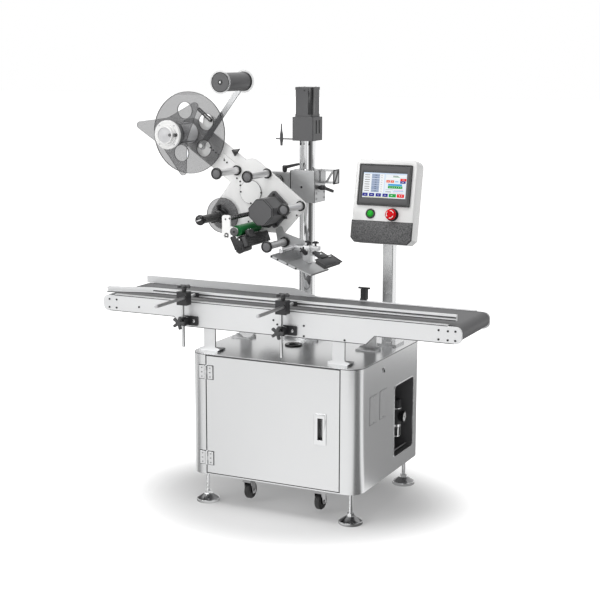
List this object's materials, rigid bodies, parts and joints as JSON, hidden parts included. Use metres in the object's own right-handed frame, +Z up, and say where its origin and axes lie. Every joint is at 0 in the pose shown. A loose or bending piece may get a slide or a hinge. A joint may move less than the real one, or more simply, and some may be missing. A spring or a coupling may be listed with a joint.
{
  "type": "flat surface labeling machine",
  "caption": "Label applicator on a cabinet: belt conveyor with side guides, a tilting label head on a powered lift column, and an operator panel on a post.",
  "frame": {"origin": "on the floor, under the middle of the machine's bounding box", "axes": "+X along the belt's travel, +Y from the operator to the back, +Z up"},
  "size_m": [1.388, 0.785, 1.5385],
  "materials": {
    "cabinet_steel": "satin stainless sheet with a fine upright grain",
    "brushed_steel": "brushed stainless steel",
    "conveyor_aluminium": "bead-blasted clear anodised",
    "white_plate": "satin white",
    "chrome": "polished hard chrome",
    "black_plastic": "fine texture",
    "dark_motor": "dark grey enamel",
    "belt": "matt PVC conveyor belt",
    "green_rubber": "cast polyurethane cover",
    "black_rubber": "matt rubber",
    "smoky_clear": "smoky clear acrylic",
    "panel_white": "satin moulded plastic",
    "screen_bezel": "black bezel round a lit screen",
    "green_button": "gloss",
    "red_button": "gloss",
    "grey_roller": "dark grey sleeve with clear rims",
    "tyre_black": "solid rubber wheel"
  },
  "bodies": {
    "machine": {"cabinet_shell": "cabinet_steel", "regulator_recess": "black_plastic", "air_regulator": "black_plastic", "electrics_plate": "brushed_steel", "caster_mounts": "chrome", "conveyor_frame": "conveyor_aluminium", "conveyor_belt": "belt", "belt_gearmotor": "brushed_steel", "drive_case": "conveyor_aluminium", "rear_guide_plate": "brushed_steel", "guide_brackets": "black_plastic", "product_sensor": "black_plastic", "panel_post": "brushed_steel", "panel_housing": "panel_white", "touch_screen": "screen_bezel", "main_column": "chrome", "lift_drive": "dark_motor"},
    "door": {"cabinet_door": "cabinet_steel"},
    "lift": {"lift_block": "brushed_steel"},
    "head": {"head_plate": "white_plate", "feed_motor": "dark_motor", "peel_plate": "brushed_steel", "peel_fittings": "brushed_steel", "nip_bracket": "black_plastic"},
    "reel": {"unwind_core": "brushed_steel", "unwind_disc": "smoky_clear"},
    "reel_flange": {"outer_flange": "smoky_clear"},
    "rewind": {"rewind_spindle": "black_plastic"},
    "dancer": {"dancer_arm": "brushed_steel"},
    "dancer_drum": {"dancer_roller": "grey_roller"},
    "posts": {"guide_posts": "black_plastic"},
    "front_guide": {"guide_rail": "conveyor_aluminium"},
    "foot_front_left": {"foot_front_left": "chrome"},
    "foot_front_right": {"foot_front_right": "chrome"},
    "foot_rear_left": {"foot_rear_left": "chrome"},
    "foot_rear_right": {"foot_rear_right": "chrome"},
    "caster_fork_left": {"caster_fork_left": "chrome"},
    "caster_fork_right": {"caster_fork_right": "chrome"},
    "caster_wheel_front_left": {"caster_wheel_front_left": "tyre_black"},
    "caster_wheel_front_right": {"caster_wheel_front_right": "tyre_black"},
    "caster_wheel_rear_left": {"caster_wheel_rear_left": "tyre_black"},
    "caster_wheel_rear_right": {"caster_wheel_rear_right": "tyre_black"},
    "tail_roller": {"tail_roller": "brushed_steel"},
    "drive_roller": {"drive_roller": "brushed_steel"},
    "drive_drum": {"drive_drum": "brushed_steel"},
    "bracket_knob_left": {"bracket_knob_left": "black_plastic"},
    "bracket_knob_right": {"bracket_knob_right": "black_plastic"},
    "post_knob_left": {"post_knob_left": "black_plastic"},
    "post_knob_right": {"post_knob_right": "black_plastic"},
    "start_button": {"start_button": "green_button"},
    "emergency_stop": {"emergency_stop": "red_button"},
    "lift_screw": {"lift_screw": "brushed_steel"},
    "tilt_lever": {"tilt_lever": "black_plastic"},
    "block_lever": {"block_lever": "black_plastic"},
    "guide_roller_1": {"guide_roller_1": "brushed_steel"},
    "guide_roller_2": {"guide_roller_2": "brushed_steel"},
    "guide_roller_3": {"guide_roller_3": "brushed_steel"},
    "guide_roller_4": {"guide_roller_4": "brushed_steel"},
    "feed_roller": {"feed_roller": "green_rubber"},
    "pressure_roller": {"pressure_roller": "black_rubber"}
  },
  "joints": [
    {"name": "door_hinge", "type": "hinge", "parent": "machine", "child": "door", "pos_m": [-0.23925, -0.2025, 0.336], "axis": [0, 0, -1], "range_deg": [0, 110]},
    {"name": "foot_front_left_screw", "type": "slide", "parent": "machine", "child": "foot_front_left", "axis": [0, 0, -1], "range_m": [-0.01, 0.015]},
    {"name": "foot_front_right_screw", "type": "slide", "parent": "machine", "child": "foot_front_right", "axis": [0, 0, -1], "range_m": [-0.01, 0.015]},
    {"name": "foot_rear_left_screw", "type": "slide", "parent": "machine", "child": "foot_rear_left", "axis": [0, 0, -1], "range_m": [-0.01, 0.015]},
    {"name": "foot_rear_right_screw", "type": "slide", "parent": "machine", "child": "foot_rear_right", "axis": [0, 0, -1], "range_m": [-0.01, 0.015]},
    {"name": "caster_swivel_left", "type": "hinge", "parent": "machine", "child": "caster_fork_left", "pos_m": [-0.1195, -0.1055, 0.093], "axis": [0, 0, 1], "continuous": true},
    {"name": "caster_spin_front_left", "type": "hinge", "parent": "caster_fork_left", "child": "caster_wheel_front_left", "pos_m": [-0.1195, -0.0915, 0.043], "axis": [1, 0, 0], "continuous": true},
    {"name": "caster_spin_rear_left", "type": "hinge", "parent": "machine", "child": "caster_wheel_rear_left", "pos_m": [-0.1195, 0.2865, 0.043], "axis": [1, 0, 0], "continuous": true},
    {"name": "caster_swivel_right", "type": "hinge", "parent": "machine", "child": "caster_fork_right", "pos_m": [0.1605, -0.1055, 0.093], "axis": [0, 0, 1], "continuous": true},
    {"name": "caster_spin_front_right", "type": "hinge", "parent": "caster_fork_right", "child": "caster_wheel_front_right", "pos_m": [0.1605, -0.0915, 0.043], "axis": [1, 0, 0], "continuous": true},
    {"name": "caster_spin_rear_right", "type": "hinge", "parent": "machine", "child": "caster_wheel_rear_right", "pos_m": [0.1605, 0.2865, 0.043], "axis": [1, 0, 0], "continuous": true},
    {"name": "drive_roller_spin", "type": "hinge", "parent": "machine", "child": "drive_roller", "pos_m": [0.6657, -0.009, 0.702], "axis": [0, 1, 0], "continuous": true},
    {"name": "tail_roller_spin", "type": "hinge", "parent": "machine", "child": "tail_roller", "pos_m": [-0.6657, -0.009, 0.702], "axis": [0, 1, 0], "continuous": true},
    {"name": "drive_drum_spin", "type": "hinge", "parent": "machine", "child": "drive_drum", "pos_m": [-0.134, -0.009, 0.696], "axis": [0, 1, 0], "continuous": true},
    {"name": "posts_lift", "type": "slide", "parent": "machine", "child": "posts", "axis": [0, 0, 1], "range_m": [-0.008, 0.06]},
    {"name": "front_guide_slide", "type": "slide", "parent": "posts", "child": "front_guide", "axis": [0, 1, 0], "range_m": [-0.035, 0.12]},
    {"name": "bracket_knob_turn_left", "type": "hinge", "parent": "machine", "child": "bracket_knob_left", "pos_m": [-0.337, -0.2175, 0.663], "axis": [0, -1, 0], "range_deg": [0, 270]},
    {"name": "post_knob_turn_left", "type": "hinge", "parent": "posts", "child": "post_knob_left", "pos_m": [-0.331, -0.1875, 0.782], "axis": [0, 0, 1], "range_deg": [0, 270]},
    {"name": "bracket_knob_turn_right", "type": "hinge", "parent": "machine", "child": "bracket_knob_right", "pos_m": [0.054, -0.2175, 0.663], "axis": [0, -1, 0], "range_deg": [0, 270]},
    {"name": "post_knob_turn_right", "type": "hinge", "parent": "posts", "child": "post_knob_right", "pos_m": [0.06, -0.1875, 0.782], "axis": [0, 0, 1], "range_deg": [0, 270]},
    {"name": "start_button_press", "type": "slide", "parent": "machine", "child": "start_button", "axis": [0, 0.9823, -0.1874], "range_m": [0, 0.004], "stiffness_N_per_m": 600},
    {"name": "emergency_stop_press", "type": "slide", "parent": "machine", "child": "emergency_stop", "axis": [0, 0.9823, -0.1874], "range_m": [0, 0.004]},
    {"name": "lift_slide", "type": "slide", "parent": "machine", "child": "lift", "axis": [0, 0, 1], "range_m": [-0.07, 0.06]},
    {"name": "lift_screw_turn", "type": "hinge", "parent": "machine", "child": "lift_screw", "pos_m": [-0.083, 0.2485, 0.9], "axis": [0, 0, 1], "range_deg": [-2530, 2170]},
    {"name": "tilt_lever_turn", "type": "hinge", "parent": "lift", "child": "tilt_lever", "pos_m": [-0.124, 0.1955, 1.182], "axis": [0, 0, -1], "range_deg": [0, 110]},
    {"name": "block_lever_turn", "type": "hinge", "parent": "lift", "child": "block_lever", "pos_m": [0.014, 0.2185, 1.12], "axis": [-1, 0, 0], "range_deg": [0, 75]},
    {"name": "head_tilt", "type": "hinge", "parent": "lift", "child": "head", "pos_m": [-0.208, 0.0875, 1.106], "axis": [0, 1, 0], "range_deg": [-10, 8]},
    {"name": "reel_spin", "type": "hinge", "parent": "head", "child": "reel", "pos_m": [-0.456, 0.0715, 1.314], "axis": [0, 1, 0], "continuous": true},
    {"name": "reel_flange_pull", "type": "slide", "parent": "reel", "child": "reel_flange", "axis": [0, -1, 0], "range_m": [0, 0.36]},
    {"name": "dancer_swing", "type": "hinge", "parent": "head", "child": "dancer", "pos_m": [-0.41, 0.0825, 1.267], "axis": [0, 1, 0], "range_deg": [0, 25], "stiffness_Nm_per_rad": 6, "springref_deg": -68.75},
    {"name": "dancer_roller_spin", "type": "hinge", "parent": "dancer", "child": "dancer_drum", "pos_m": [-0.23, -0.0025, 1.503], "axis": [0, 1, 0], "continuous": true},
    {"name": "guide_roller_1_spin", "type": "hinge", "parent": "head", "child": "guide_roller_1", "pos_m": [-0.264, -0.0115, 1.182], "axis": [0, 1, 0], "continuous": true},
    {"name": "guide_roller_2_spin", "type": "hinge", "parent": "head", "child": "guide_roller_2", "pos_m": [-0.14, -0.0125, 1.176], "axis": [0, 1, 0], "continuous": true},
    {"name": "guide_roller_3_spin", "type": "hinge", "parent": "head", "child": "guide_roller_3", "pos_m": [-0.006, 0.0065, 1.065], "axis": [0, 1, 0], "continuous": true},
    {"name": "guide_roller_4_spin", "type": "hinge", "parent": "head", "child": "guide_roller_4", "pos_m": [-0.067, -0.0065, 0.932], "axis": [0, 1, 0], "continuous": true},
    {"name": "feed_roller_spin", "type": "hinge", "parent": "head", "child": "feed_roller", "pos_m": [-0.178, 0.0075, 0.983], "axis": [0, 1, 0], "continuous": true},
    {"name": "pressure_roller_spin", "type": "hinge", "parent": "head", "child": "pressure_roller", "pos_m": [-0.1649, 0.0075, 0.94701], "axis": [0, 1, 0], "continuous": true},
    {"name": "rewind_spin", "type": "hinge", "parent": "head", "child": "rewind", "pos_m": [-0.322, 0.0075, 1.015], "axis": [0, 1, 0], "continuous": true}
  ],
  "couplings": [
    {"joint": "tail_roller_spin", "follows": "drive_roller_spin", "ratio": 1},
    {"joint": "drive_drum_spin", "follows": "drive_roller_spin", "ratio": 1.3198},
    {"joint": "lift_screw_turn", "follows": "lift_slide", "rad_per_m": 628.32},
    {"joint": "pressure_roller_spin", "follows": "feed_roller_spin", "ratio": -1.1111}
  ]
}
